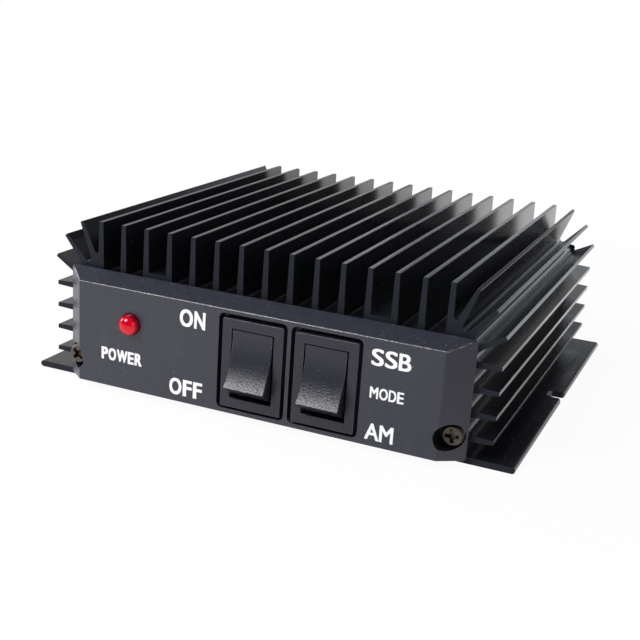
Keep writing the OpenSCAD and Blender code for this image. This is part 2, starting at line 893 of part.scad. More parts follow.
module socket_insulator(x) {
    difference() {
        rod_y(x, socket_z, socket_neck_end, insulator_end, socket_bore_r - insulator_gap);
        rod_y(x, socket_z, face_y, socket_mouth_y, contact_r + insulator_gap);
        rod_y(x, socket_z, socket_neck_end - over, face_y + over, contact_tail_r + insulator_gap);
    }
}

module socket_contact(x) {
    difference() {
        union() {
            rod_y(x, socket_z, face_y + over, socket_mouth_y - contact_setback, contact_r);
            rod_y(x, socket_z, contact_end, face_y + 2 * over, contact_tail_r);
        }
        rod_y(x, socket_z, face_y + 3 * over, socket_mouth_y, contact_bore_r);
    }
}

module socket_washer(x) {
    inside = face_y - bezel_t;
    along_y(inside - washer_t, inside) translate([x, socket_z]) difference() {
        circle(washer_r);
        circle(socket_neck_r + washer_gap);
    }
}

module socket_nut(x) {
    back = face_y - bezel_t - washer_t;
    along_y(back - nut_t, back) translate([x, socket_z]) difference() {
        hexagon(nut_af);
        circle(socket_neck_r + nut_gap);
    }
}

// Bare wire from a centre contact up to the circuit board
module socket_wire(x) {
    wire([[x, contact_end, socket_z], [x, socket_wire_y, socket_z], [x, socket_wire_y, board_z0]],
         socket_wire_r);
}

module input_socket_shell() {
    color("#c8c8c4") socket_shell(-socket_x);
}

module input_socket_insulator() {
    color("#ece8dc") socket_insulator(-socket_x);
}

module input_socket_contact() {
    color("#d8c890") socket_contact(-socket_x);
}

module input_socket_washer() {
    color("#b8b8b4") socket_washer(-socket_x);
}

module input_socket_nut() {
    color("#c0c0bc") socket_nut(-socket_x);
}

module input_socket_wire() {
    color("#d0c8b8") socket_wire(-socket_x);
}

module output_socket_shell() {
    color("#c8c8c4") socket_shell(socket_x);
}

module output_socket_insulator() {
    color("#ece8dc") socket_insulator(socket_x);
}

module output_socket_contact() {
    color("#d8c890") socket_contact(socket_x);
}

module output_socket_washer() {
    color("#b8b8b4") socket_washer(socket_x);
}

module output_socket_nut() {
    color("#c0c0bc") socket_nut(socket_x);
}

module output_socket_wire() {
    color("#d0c8b8") socket_wire(socket_x);
}

module power_lead_grommet() {
    inside = face_y - bezel_t;
    color("#202022") difference() {
        union() {
            rod_y(0, socket_z, inside - grommet_lip, face_y + grommet_lip, grommet_waist_r - grommet_squeeze);
            rod_y(0, socket_z, face_y, face_y + grommet_lip, grommet_r);
            rod_y(0, socket_z, inside - grommet_lip, inside, grommet_r);
        }
        rod_y(0, socket_z, inside - 2 * grommet_lip, face_y + 2 * grommet_lip, grommet_bore_r);
    }
}

module circuit_board() {
    color("#2e6b3a") difference() {
        box([-board_x, board_y0, board_z0], [board_x, board_y1, board_z1]);
        for (x = [-transistor_x, transistor_x], y = [-transistor_y, transistor_y])
            rod_z(x, y, board_z0 - over, board_z1 + over, access_hole_r);
        for (p = spacer_places) rod_z(p[0], p[1], board_z0 - over, board_z1 + over, clear_hole_r);
        for (x = [-leg_x, leg_x], y = [-transistor_y, transistor_y], leg = [-leg_pitch, 0, leg_pitch])
            rod_z(x, y + leg, board_z0 - over, board_z1 + over, leg_hole_r);
    }
}

module board_spacers() {
    color("#d8d4c0") for (p = spacer_places) translate([p[0], p[1], 0]) difference() {
        union() {
            translate([0, 0, board_z1]) linear_extrude(ceiling_z - board_z1) hexagon(spacer_af);
            rod_z(0, 0, ceiling_z - over, ceiling_z + spacer_stud, thread_r);
        }
        rod_z(0, 0, board_z1 - over, board_z1 + spacer_bore, thread_hole_r);
    }
}

module board_screws() {
    color("#b8b8b4") for (p = spacer_places) translate([p[0], p[1], board_z0]) mirror([0, 0, 1])
        pan_screw(board_screw_len);
}

// A flat power transistor: tab bolted to the roof, legs bent down through the board
module transistor(side, y) {
    top = ceiling_z - pad_t;
    body_end = tab_hole_to_body + epoxy_len;
    color("#26262a") mirror([side < 0 ? 1 : 0, 0, 0]) translate([transistor_x, y, 0])
        mirror([1, 0, 0]) {
            difference() {
                box([-tab_hole_to_end, -tab_w / 2, top - tab_t], [body_end - 1, tab_w / 2, top]);
                rod_z(0, 0, top - 2 * tab_t, top + over, tab_hole_r);
            }
            box([tab_hole_to_body, -tab_w / 2, top - epoxy_t], [body_end, tab_w / 2, top - tab_t / 2]);
            for (leg = [-leg_pitch, 0, leg_pitch]) translate([body_end, leg - leg_w / 2, top - leg_drop]) {
                box([-over, 0, -leg_t], [leg_reach, leg_w, 0]);
                box([leg_reach - leg_t, 0, board_z0 - leg_end - top + leg_drop], [leg_reach, leg_w, 0]);
            }
        }
}

module transistor_1() {
    transistor(-1, -transistor_y);
}

module transistor_2() {
    transistor(1, -transistor_y);
}

module transistor_3() {
    transistor(-1, transistor_y);
}

module transistor_4() {
    transistor(1, transistor_y);
}

module transistor_insulators() {
    color("#b8c4d0") for (side = [0, 1], y = [-transistor_y, transistor_y])
        mirror([side, 0, 0]) translate([transistor_x, y, ceiling_z]) difference() {
            box([-tab_hole_to_body - epoxy_len - pad_margin, -tab_w / 2 - pad_margin, -pad_t],
                [tab_hole_to_end + pad_margin, tab_w / 2 + pad_margin, 0]);
            rod_z(0, 0, -pad_t - over, over, tab_hole_r);
        }
}

module transistor_screws() {
    color("#b8b8b4") for (x = [-transistor_x, transistor_x], y = [-transistor_y, transistor_y])
        translate([x, y, ceiling_z - pad_t - tab_t]) mirror([0, 0, 1]) pan_screw(transistor_screw_len);
}

// Two ferrite tubes side by side with a copper bar loop through them; p is [from y, to y, tube radius]
module tube_transformer(p) {
    tube_r = p[2];
    bar_r = tube_r * bar_share;
    tube_x = tube_r + tube_gap;
    z = board_z0 - tube_lift - tube_r;
    reach = end_bar_gap + end_bar_t;
    for (side = [-1, 1]) difference() {
        rod_y(side * tube_x, z, p[0], p[1], tube_r);
        rod_y(side * tube_x, z, p[0] - over, p[1] + over, tube_r * tube_bore_share);
    }
    for (side = [-1, 1]) rod_y(side * tube_x, z, p[0] - reach, p[1] + reach, bar_r);
    for (y = [p[0] - reach, p[1] + end_bar_gap]) {
        box([-tube_x - bar_r, y, z - bar_r], [tube_x + bar_r, y + end_bar_t, z + bar_r]);
        for (side = [-1, 1])
            translate([side * tube_x - end_bar_t / 2, y, z]) cube([end_bar_t, end_bar_t, board_z0 - z]);
    }
}

module input_transformer() {
    color("#54504c") tube_transformer(input_tubes);
}

module output_transformer() {
    color("#54504c") tube_transformer(output_tubes);
}

module supply_choke() {
    depth = tube_lift + choke_ring_r;
    color("#b87838") translate([choke_place[0], choke_place[1], board_z0 - depth]) {
        rotate_extrude() translate([choke_ring_r, 0]) circle(choke_wire_r);
        for (side = [-1, 1]) rod_z(side * choke_ring_r, 0, 0, depth, choke_lead_r);
    }
}

module relay(x) {
    translate([x - relay_size[0] / 2, relay_y, board_z0 - relay_lift - relay_size[2]]) cube(relay_size);
    for (side = [-1, 1], y = relay_pin_y)
        rod_z(x + side * relay_pin_x, relay_y + y, board_z0 - 2 * relay_lift, board_z0, relay_pin_r);
}

module input_relay() {
    color("#d8d8d4") relay(-relay_x);
}

module output_relay() {
    color("#d8d8d4") relay(relay_x);
}

module electrolytic_capacitors() {
    color("#2a3c78") for (p = electrolytics) {
        rod_z(p[0], p[1], board_z0 - p[2], board_z0 - capacitor_lift, electrolytic_r);
        for (side = [-1, 1])
            rod_z(p[0] + side * capacitor_lead_x, p[1], board_z0 - 1, board_z0, capacitor_lead_r);
    }
}

// Air-cored coils of the output filter, wound close
module filter_coils() {
    z = board_z0 - coil_drop;
    color("#c07c40") for (x = [-coil_x, coil_x]) {
        difference() {
            rod_y(x, z, coil_y[0], coil_y[1], coil_r);
            rod_y(x, z, coil_y[0] - over, coil_y[1] + over, coil_bore_r);
        }
        for (y = [coil_y[0] + over, coil_y[1] - over]) box(
            [x - coil_lead_half, y - coil_lead_half, z + (coil_r + coil_bore_r) / 2],
            [x + coil_lead_half, y + coil_lead_half, board_z0]);
    }
}

module mica_capacitors() {
    color("#a06030") for (p = micas)
        translate([p[0] - mica_size[0] / 2, p[1] - mica_size[1] / 2, board_z0 - mica_size[2]])
            cube(mica_size);
}

module bias_resistors() {
    z = board_z0 - resistor_drop;
    ends = [resistor_y[0] - resistor_lead, resistor_y[1] + resistor_lead];
    color("#c8b078") for (x = resistor_xs) {
        rod_y(x, z, resistor_y[0], resistor_y[1], resistor_r);
        rod_y(x, z, ends[0], ends[1], resistor_lead_r);
        for (y = ends) box(
            [x - resistor_lead_r, y - resistor_lead_r, z - resistor_lead_r],
            [x + resistor_lead_r, y + resistor_lead_r, board_z0]);
    }
}

module fuse() {
    color("#c8ccd0") rod_x(fuse_y, board_z0 - fuse_drop, fuse_x[0], fuse_x[1], fuse_r);
}

// Two spring clips, each a base on the board with a leaf on either side of the fuse
module fuse_clips() {
    color("#b8b0a0") for (x = clip_xs) translate([x, fuse_y, board_z0]) {
        box([0, -clip_half_w, -clip_base_t], [clip_len, clip_half_w, 0]);
        for (side = [0, 1]) mirror([0, side, 0])
            box([0, clip_half_w - clip_t, -clip_h], [clip_len, clip_half_w, -clip_base_t + over / 2]);
    }
}

heatsink();
front_panel();
rear_panel();
bottom_cover();
front_panel_screws();
rear_panel_screws();
bottom_cover_screws();
power_lamp();
power_lamp_leads();
power_switch_housing();
power_switch_rocker();
power_switch_plunger();
power_switch_spring();
power_switch_contact();
power_switch_terminals();
power_switch_wires();
mode_switch_housing();
mode_switch_rocker();
mode_switch_plunger();
mode_switch_spring();
mode_switch_contact();
mode_switch_terminals();
mode_switch_wires();
input_socket_shell();
input_socket_insulator();
input_socket_contact();
input_socket_washer();
input_socket_nut();
input_socket_wire();
output_socket_shell();
output_socket_insulator();
output_socket_contact();
output_socket_washer();
output_socket_nut();
output_socket_wire();
power_lead_grommet();
circuit_board();
board_spacers();
board_screws();
transistor_1();
transistor_2();
transistor_3();
transistor_4();
transistor_insulators();
transistor_screws();
input_transformer();
output_transformer();
supply_choke();
input_relay();
output_relay();
electrolytic_capacitors();
filter_coils();
mica_capacitors();
bias_resistors();
fuse();
fuse_clips();
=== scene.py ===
"""Mobile HF linear amplifier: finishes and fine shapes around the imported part."""

import json
import math

import bmesh
import bpy
from bpy.props import FloatProperty, FloatVectorProperty, PointerProperty
from mathutils import Matrix, Vector


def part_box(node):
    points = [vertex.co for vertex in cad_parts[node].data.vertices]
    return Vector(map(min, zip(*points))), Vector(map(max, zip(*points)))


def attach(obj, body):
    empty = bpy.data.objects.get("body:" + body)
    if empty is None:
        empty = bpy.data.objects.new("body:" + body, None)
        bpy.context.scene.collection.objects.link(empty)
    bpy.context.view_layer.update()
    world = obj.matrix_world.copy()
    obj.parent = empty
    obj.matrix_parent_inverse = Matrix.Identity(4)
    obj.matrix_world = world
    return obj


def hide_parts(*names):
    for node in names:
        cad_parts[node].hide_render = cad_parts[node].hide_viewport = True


bl_info = {
    "name": "HF Linear Amplifier",
    "version": (1, 0, 0),
    "blender": (4, 5, 0),
    "location": "3D View > Sidebar > Amplifier",
    "description": "Builds the finishes and fine shapes of a finned mobile amplifier",
    "category": "Object",
}

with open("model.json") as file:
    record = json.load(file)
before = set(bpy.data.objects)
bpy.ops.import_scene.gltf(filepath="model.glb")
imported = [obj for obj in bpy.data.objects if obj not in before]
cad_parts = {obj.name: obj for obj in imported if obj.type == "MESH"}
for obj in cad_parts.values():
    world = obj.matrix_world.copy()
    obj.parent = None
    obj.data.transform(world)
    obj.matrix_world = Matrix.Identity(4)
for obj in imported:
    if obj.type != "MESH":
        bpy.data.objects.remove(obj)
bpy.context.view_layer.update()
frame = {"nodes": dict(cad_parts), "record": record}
NODES = frame["nodes"]
BODY_OF = {n: b for b, ns in frame["record"]["behaviour"]["bodies"].items() for n in ns}

MM = 0.001
FACE_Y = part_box("front_panel")[0].y
BENDS_Y = 51.6 * MM  # an end panel's large bends are rounded beyond this
RIM_Y = 50.3 * MM  # just inside the rear edge of its shell
TOP_BEND_Z = 26.2 * MM  # just under the bend along the top of its face
FOOT_BEND_Z = 1.8 * MM  # just over the bend along the bottom
SIDE_BEND_X = 44.8 * MM  # just inside the bends along the sides
SOCKET_X = 27 * MM
SOCKET_Z = 14.1 * MM
LAMP_AT = Vector((-30.8, 0, 18.2)) * MM
LAMP_R = 2.5 * MM
SCREW_AT = Vector((46.95, 0, 6.95)) * MM
# Axis and radius of the screw counterbores, whose walls the panels' colour paints dark as shade.
BORE_AT = Vector((46.65, 0, 6.95)) * MM
BORE_R = 3 * MM

SHARP = math.radians(32)  # edges sharper than this are rounded
SMOOTH = math.radians(38)  # and edges softer than this are shaded smooth
CORNER = 0.5  # radians, past which an edge makes a corner
FLAT = math.radians(0.6)  # faces closer than this lie in one plane
WELD_ROUNDS = 6
SAME = 1e-7  # metres, under which two vertices are one


# ---------------------------------------------------------------- settings


def length(name, description, default):
    """A size, given in millimetres."""
    return FloatProperty(name=name, description=description, default=default * MM, unit="LENGTH")


def amount(name, description, default, unit="NONE"):
    return FloatProperty(name=name, description=description, default=default, min=0, unit=unit)


def colour(name, description, default):
    return FloatVectorProperty(
        name=name, description=description, default=default, subtype="COLOR", size=3, min=0, max=1)


class AmplifierSizes(bpy.types.PropertyGroup):
    fin_edge: length("Fin edge", "Rounding of the extrusion's edges", 0.09)
    panel_edge: length("Panel edge", "Rounding of the end panels' edges", 0.28)
    moulding_edge: length("Moulding edge", "Rounding of the switches' edges", 0.2)
    screw_edge: length("Screw edge", "Rounding of the screw heads", 0.16)
    print_depth: length("Print thickness", "Thickness of the printed words", 0.02)
    thread_pitch: length("Thread pitch", "Pitch of the aerial sockets' thread", 1.06)
    thread_depth: length("Thread depth", "Depth of the aerial sockets' thread", 0.5)


class AmplifierColours(bpy.types.PropertyGroup):
    anodising: colour("Anodising", "Black anodised aluminium", (0.0032, 0.0038, 0.0068))
    sawn_end: colour("Sawn end", "Anodised sawn ends of the extrusion", (0.0118, 0.0137, 0.0215))
    panel: colour("Panel", "Moulded end panels", (0.0160, 0.0170, 0.0310))
    switch: colour("Switch", "Switch case and rocker", (0.0072, 0.0080, 0.0175))
    lens: colour("Lens", "Lens of the lamp", (0.5, 0.0, 0.012))
    words: colour("Words", "Printed words", (0.93, 0.93, 0.93))
    screw: colour("Screw", "Bronze black screws", (0.034, 0.030, 0.029))


class StudioSettings(bpy.types.PropertyGroup):
    lens: amount("Lens", "Focal length of the camera", 63.585, "CAMERA")
    key: amount("Key light", "Power of the front left light", 8.5, "POWER")
    fill: amount("Fill light", "Power of the right light", 1.2, "POWER")
    side: amount("Side light", "Power of the left light", 4.2, "POWER")
    rim: amount("Rim light", "Power of the light behind on the left", 0.8, "POWER")
    room: amount("Room", "Brightness of the room", 0.3)
    ceiling: amount("Ceiling", "Brightness overhead in reflections", 0.06)
    gloom: amount("Gloom", "Brightness of the room in reflections", 0.03)


# ------------------------------------------------------------ shader maths


def join(tree, value, slot):
    """Links a signal to a slot, or sets the slot to a plain value."""
    if isinstance(value, Signal):
        tree.links.new(value.socket, slot)
    else:
        slot.default_value = value


class Signal:
    """An output socket with arithmetic."""

    def __init__(self, tree, socket):
        self.tree = tree
        self.socket = socket

    def maths(self, operation, *values):
        node = self.tree.nodes.new("ShaderNodeMath")
        node.operation = operation
        for slot, value in zip(node.inputs, values):
            join(self.tree, value, slot)
        return Signal(self.tree, node.outputs[0])

    def __add__(self, other):
        return self.maths("ADD", self, other)

    def __radd__(self, other):
        return self.maths("ADD", other, self)

    def __sub__(self, other):
        return self.maths("SUBTRACT", self, other)

    def __rsub__(self, other):
        return self.maths("SUBTRACT", other, self)

    def __mul__(self, other):
        return self.maths("MULTIPLY", self, other)

    def __rmul__(self, other):
        return self.maths("MULTIPLY", other, self)

    def __truediv__(self, other):
        return self.maths("DIVIDE", self, other)

    def __pow__(self, other):
        return self.maths("POWER", self, other)

    def __gt__(self, other):
        return self.maths("GREATER_THAN", self, other)

    def __lt__(self, other):
        return self.maths("LESS_THAN", self, other)

    def __abs__(self):
        return self.maths("ABSOLUTE", self)

    def capped(self, low=0.0, high=1.0):
        return self.maths("MINIMUM", self.maths("MAXIMUM", self, low), high)


class Weave:
    """Nodes of a tree under construction, from one place input."""

    def __init__(self, tree, place):
        self.tree = tree
        self.place = self.node("ShaderNodeTexCoord", output=place)

    def node(self, kind, settings=None, values=None, output=0):
        """Adds a node: its settings first, then the values or links of its sockets."""
        node = self.tree.nodes.new(kind)
        for key, value in (settings or {}).items():
            setattr(node, key, value)
        for key, value in (values or {}).items():
            join(self.tree, value, node.inputs[key])
        return Signal(self.tree, node.outputs[output])

    def stretched(self, x, y, z):
        """The place scaled along each axis: under 1 draws a pattern out."""
        return self.node("ShaderNodeMapping", values={"Vector": self.place, "Scale": (x, y, z)})

    def noise(self, size, detail=2.0, vector=None, rough=0.5):
        """Noise whose blobs are about size metres across."""
        return self.node("ShaderNodeTexNoise", values={
            "Vector": vector or self.place, "Scale": 1 / size, "Detail": detail,
            "Roughness": rough})

    def axis(self, letter):
        return self.node("ShaderNodeSeparateXYZ", values={"Vector": self.place}, output=letter)

    def ramp(self, signal, low, high):
        """0 below low, 1 above high and smooth between them."""
        return self.node("ShaderNodeMapRange", {"interpolation_type": "SMOOTHSTEP"}, {
            "Value": signal, "From Min": low, "From Max": high})

    def ray(self, kind):
        """Whether the ray that looks is of a kind."""
        return self.node("ShaderNodeLightPath", output=kind)

    def mark(self, name):
        """A mark stored on the piece's faces."""
        return self.node("ShaderNodeAttribute", {"attribute_name": name}, output="Fac")

    def specks(self, size, share, reach):
        """Sparse dots: share of the cells hold one, with a radius of reach in cells."""
        settings = {"feature": "F1"}
        values = {"Vector": self.place, "Scale": 1 / size, "Randomness": 1.0}
        near = self.node("ShaderNodeTexVoronoi", settings, values, "Distance")
        cell = self.node("ShaderNodeTexVoronoi", settings, values, "Color")
        pick = self.node("ShaderNodeSeparateColor", values={"Color": cell}, output="Red")
        return (near < reach) * (pick > 1 - share)

    def tint(self, factor, a, b):
        """Mixes two colours, through the colour sockets of a Mix node."""
        factor_in, a_in, b_in, colour_out = 0, 6, 7, 2
        return self.node("ShaderNodeMix", {"data_type": "RGBA"}, {
            factor_in: factor, a_in: rgba(a), b_in: rgba(b)}, colour_out)

    def bump(self, height, depth):
        """A relief: a height of 1 is depth metres."""
        return self.node("ShaderNodeBump", values={
            "Height": height, "Distance": depth}, output="Normal")


class Sky(Weave):
    """The world under construction."""

    def __init__(self, name):
        self.world = bpy.data.worlds.new(name)
        self.world.use_nodes = True
        super().__init__(self.world.node_tree, "Generated")

    def light(self, level, tint):
        ground = self.tree.nodes["Background"]
        join(self.tree, tint, ground.inputs["Color"])
        join(self.tree, level, ground.inputs["Strength"])


class Finish(Weave):
    """A procedural material under construction, with its Principled shader."""

    def __init__(self, name):
        self.material = bpy.data.materials.new(name)
        self.material.use_nodes = True
        super().__init__(self.material.node_tree, "Object")
        self.shader = self.tree.nodes["Principled BSDF"]
        self.output = self.tree.nodes["Material Output"]

    def shade(self, **values):
        """Sets or links sockets of the Principled shader."""
        for key, value in values.items():
            slot = self.shader.inputs[key.replace("_", " ")]
            join(self.tree, rgba(value) if key.endswith("Color") else value, slot)
        return self.material


def rgba(value):
    """A colour as four numbers; a signal or four numbers pass through."""
    if isinstance(value, Signal) or len(value) == 4:
        return value
    return (*value, 1.0)


def darker(base, share):
    return [c * (1 - share) for c in base]


def lighter(base, share):
    return [min(1, c * (1 + share)) for c in base]


# ---------------------------------------------------------------- finishes

DUST = (0.4, 0.4, 0.4)
WARM_DUST = (0.45, 0.43, 0.43)
DUST_ON_METAL = (0.35, 0.34, 0.32)
WORN_ANODISING = (0.12, 0.12, 0.14)
WORN_MOULDING = (0.42, 0.40, 0.42)
WORN_SWITCH = (0.26, 0.26, 0.28)
PALE_GRAIN = (0.30, 0.29, 0.30)
SWITCH_GRAIN = (0.3, 0.3, 0.31)
# Near black, painted as shade into the panels' recesses and screw counterbores.
SHADOW = (0.001, 0.001, 0.001)


def away(x, z, centre):
    """How far a place is from a line along Y."""
    return ((x - centre.x) ** 2 + (z - centre.z) ** 2) ** 0.5


def anodised(name, settings):
    """Black anodised extrusion: drawn lines along it, a matt sawn end, and pale worn edges."""
    f = Finish(name)
    drawn = f.noise(0.35 * MM, 3, f.stretched(1, 0.02, 1))
    cloud = f.noise(9 * MM, 3)
    sawn = f.mark("sawn")
    grain = f.noise(0.12 * MM, 2, f.stretched(1, 1, 0.25))
    worn = f.mark("edge") * f.ramp(f.noise(0.5 * MM, 3, f.stretched(1, 0.12, 1)), 0.45, 0.7)
    black = f.tint(drawn, darker(settings.anodising, 0.25), lighter(settings.anodising, 0.35))
    body = f.tint(sawn * (0.8 + 0.4 * grain), black, settings.sawn_end)
    dust = f.specks(1.1 * MM, 0.02, 0.1)
    body = f.tint(dust * 0.6, body, DUST_ON_METAL)
    return f.shade(
        Base_Color=f.tint(worn * 0.35, body, WORN_ANODISING),
        Roughness=0.42 + 0.1 * drawn + 0.06 * cloud + 0.1 * sawn,
        Normal=f.bump(drawn * (1 - sawn) + 5 * grain * sawn, 0.0006 * MM),
        Coat_Weight=1 - sawn,
        Coat_Roughness=0.18,
        Coat_IOR=1.8,
        IOR=1.33)


def panel_moulding(name, settings):
    """Finely grained dark moulding: dusty, faintly scratched, worn on its top bend, with painted shade
    in its recesses and screw counterbores.
    """
    f = Finish(name)
    x, z = f.axis("X"), f.axis("Z")
    grain = f.noise(0.16 * MM, 2)
    cloud = f.noise(14 * MM, 2)
    mottle = f.ramp(f.noise(0.4 * MM, 2, rough=0.6), 0.35, 0.65)
    broken = f.ramp(f.noise(0.45 * MM, 3, rough=0.7), 0.48, 0.64)
    worn = f.mark("edge") * broken
    above = f.ramp(z, TOP_BEND_Z, TOP_BEND_Z + 0.4 * MM)
    dust = f.specks(1.0 * MM, 0.03, 0.13)
    lint = f.specks(0.5 * MM, 0.12, 0.24) * above
    # Painted shade: faces set back from the outer faces in the middle of the panels, in the switch
    # pockets and holes, and the walls of the screw counterbores are tinted near black.
    sunk = abs(f.axis("Y")) < -FACE_Y - 0.12 * MM
    recess_shade = sunk * (abs(x) < 44 * MM) * (z > 2.7 * MM) * (z < 25.5 * MM)
    bore = away(abs(x), z, BORE_AT) < BORE_R + 0.03 * MM
    arc = abs(away(x, z, Vector((-39.5, 0, 1)) * MM) - 25.4 * MM)
    short = (x > -20.5 * MM) * (z < 16.8 * MM) * (z > 8.5 * MM)
    scratch = f.ramp(arc, 0.06 * MM, 0.02 * MM) * short
    scuff = f.ramp(f.noise(5 * MM, 4, f.stretched(1, 1, 0.6)), 0.62, 0.8)
    shade = f.tint(cloud, darker(settings.panel, 0.06), lighter(settings.panel, 0.06))
    shade = f.tint(0.03 * grain + 0.03 * mottle + 0.03 * scuff, shade, PALE_GRAIN)
    shade = f.tint(0.35 * dust + 0.3 * lint + 0.2 * scratch * broken, shade, WARM_DUST)
    shade = f.tint(worn * 0.42, shade, WORN_MOULDING)
    return f.shade(
        # Painted shade: the recesses and counterbores are tinted 80 % of the way to near black.
        Base_Color=f.tint((bore + recess_shade).capped() * 0.8, shade, SHADOW),
        Roughness=0.3 + 0.1 * grain,
        Normal=f.bump(grain, 0.02 * MM),
        IOR=1.62)


def switch_moulding(name, settings):
    """Satin black moulding with a sparkling grain and speckled edges."""
    f = Finish(name)
    grain = f.noise(0.14 * MM, 2)
    coarse = f.noise(0.36 * MM, 3, rough=0.65)
    worn = f.mark("edge") * f.ramp(f.noise(0.35 * MM, 3, rough=0.7), 0.45, 0.66)
    dust = f.specks(1.0 * MM, 0.03, 0.13)
    base = f.tint(0.05 * coarse, settings.switch, SWITCH_GRAIN)
    base = f.tint(0.4 * dust, base, DUST)
    return f.shade(
        Base_Color=f.tint(worn * 0.3, base, WORN_SWITCH),
        Roughness=0.24 + 0.1 * grain,
        Normal=f.bump(0.25 * grain + 0.75 * coarse, 0.08 * MM),
        IOR=1.55)


def plain_moulding(name, base, rough, size, depth, mottle):
    """Plastic, rubber, ferrite or card of one colour, with grain and mottle of a size in millimetres."""
    f = Finish(name)
    grain = f.noise(size * MM, 2)
    cloud = f.noise(12 * size * MM, 2)
    return f.shade(
        Base_Color=f.tint(cloud, darker(base, mottle), lighter(base, mottle)),
        Roughness=rough + 0.1 * (grain - 0.5),
        Normal=f.bump(grain, depth * MM),
        IOR=1.5)


def plated_metal(name, base, rough, stain, drawn=1):
    """Bright or dark metal with fine marks, drawn closer along Y, and faint stains."""
    f = Finish(name)
    turned = f.noise(0.12 * MM, 2, f.stretched(1, drawn, 1))
    blot = f.ramp(f.noise(2.5 * MM, 3), 0.5, 0.75)
    return f.shade(
        Base_Color=f.tint(0.35 * blot, base, stain),
        Metallic=1.0 - 0.15 * blot,
        Roughness=rough + 0.12 * turned + 0.08 * blot,
        Normal=f.bump(turned, 0.003 * MM))


def dark_screw(name, settings):
    """Bronze black screws."""
    return plated_metal(name, settings.screw, 0.28, (0.05, 0.04, 0.035))


def lamp_lens(name, settings):
    """Clear red lens: painted dark towards the light, with a painted glow on the far side, where light
    gathers, and painted shade at its rim.
    """
    f = Finish(name)
    ripple = f.noise(1.2 * MM, 1)
    across = (f.axis("X") - LAMP_AT.x) / LAMP_R
    up = (f.axis("Z") - LAMP_AT.z) / LAMP_R
    # Painted glow: the emission is brighter on the lens's lower right, away from the light, and dimmer
    # towards the light.
    far = f.ramp(0.75 * across - 0.65 * up + 0.1 * ripple, -0.5, 1.0)
    # Painted shade: the base colour and the glow darken towards the lens's rim.
    inside = f.ramp((across ** 2 + up ** 2) ** 0.5, 1.02, 0.8)
    return f.shade(
        Base_Color=f.tint(inside, (0.06, 0.0, 0.004), settings.lens),
        Roughness=0.06 + 0.05 * ripple,
        Emission_Color=f.tint(far * inside, (0.09, 0.0, 0.004), (0.75, 0.0, 0.02)),
        Emission_Strength=0.5,
        IOR=1.45)


def printed_words(name, settings):
    """Screen-printed white ink with soft thin places."""
    f = Finish(name)
    thin = f.noise(0.35 * MM, 3)
    return f.shade(
        Base_Color=f.tint(f.ramp(thin, 0.6, 0.85) * 0.3, settings.words, (0.6, 0.6, 0.62)),
        Roughness=0.55 + 0.1 * thin,
        Normal=f.bump(thin, 0.004 * MM))


def clear_glass(name, settings):
    """A fuse's glass tube between its metal end caps."""
    f = Finish(name)
    low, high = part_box("fuse")
    centre, half, cap = (low.x + high.x) / 2, (high.x - low.x) / 2, 3.2 * MM
    end = f.ramp(abs(f.axis("X") - centre), half - cap, half - cap + 0.3 * MM)
    return f.shade(
        Base_Color=f.tint(end, (0.75, 0.8, 0.8), (0.7, 0.69, 0.66)),
        Metallic=end,
        Roughness=0.08 + 0.2 * end,
        Coat_Weight=0.5)


# finish: base colour, roughness, colour of its stains, and how close its marks are drawn
METALS = {
    "nickel": ((0.62, 0.6, 0.56), 0.2, (0.3, 0.28, 0.25)),
    "brass": ((0.72, 0.55, 0.26), 0.25, (0.4, 0.26, 0.12)),
    "tinned_copper": ((0.66, 0.62, 0.56), 0.3, (0.5, 0.3, 0.2)),
    "copper": ((0.6, 0.26, 0.12), 0.3, (0.3, 0.1, 0.05), 8),
    "spring_steel": ((0.5, 0.5, 0.5), 0.3, (0.3, 0.28, 0.25)),
}

# finish: base colour, roughness, size and depth of its grain in millimetres, and mottle
MOULDINGS = {
    "white_nylon": ((0.76, 0.73, 0.66), 0.35, 0.25, 0.006, 0.06),
    "black_rubber": ((0.018, 0.018, 0.019), 0.65, 0.3, 0.02, 0.15),
    "board": ((0.03, 0.15, 0.05), 0.3, 0.8, 0.006, 0.25),
    "thermal_pad": ((0.42, 0.48, 0.54), 0.7, 0.2, 0.01, 0.15),
    "ferrite": ((0.05, 0.048, 0.045), 0.55, 0.15, 0.012, 0.2),
    "relay_case": ((0.62, 0.62, 0.58), 0.3, 0.4, 0.005, 0.05),
    "capacitor_sleeve": ((0.015, 0.03, 0.16), 0.22, 0.5, 0.004, 0.15),
    "mica_dip": ((0.3, 0.1, 0.03), 0.25, 0.6, 0.02, 0.25),
    "resistor_body": ((0.5, 0.4, 0.24), 0.5, 0.3, 0.01, 0.15),
    "moulded_epoxy": ((0.02, 0.02, 0.022), 0.45, 0.15, 0.01, 0.15),
    "red_wire": ((0.42, 0.02, 0.02), 0.4, 0.4, 0.005, 0.15),
    "blue_wire": ((0.02, 0.08, 0.38), 0.4, 0.4, 0.005, 0.15),
    "grey_wire": ((0.3, 0.3, 0.3), 0.4, 0.4, 0.005, 0.15),
}

MAKERS = {
    "black_anodising": anodised,
    "grained_panel": panel_moulding,
    "satin_switch": switch_moulding,
    "red_lens": lamp_lens,
    "white_print": printed_words,
    "fuse_glass": clear_glass,
    "dark_screw": dark_screw,
}


def finish_of(name):
    """The material of a named finish, made when first asked for."""
    if name in bpy.data.materials:
        return bpy.data.materials[name]
    if name in METALS:
        return plated_metal(name, *METALS[name])
    if name in MOULDINGS:
        return plain_moulding(name, *MOULDINGS[name])
    return MAKERS[name](name, bpy.context.scene.amplifier_colours)


# ------------------------------------------------------------ shape helpers


def dress(obj, finish):
    """Gives a whole object one finish."""
    obj.data.materials.clear()
    obj.data.materials.append(finish_of(finish))


def dress_nodes(finish, *names):
    """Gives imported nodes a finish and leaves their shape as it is."""
    for name in names:
        dress(NODES[name], finish)


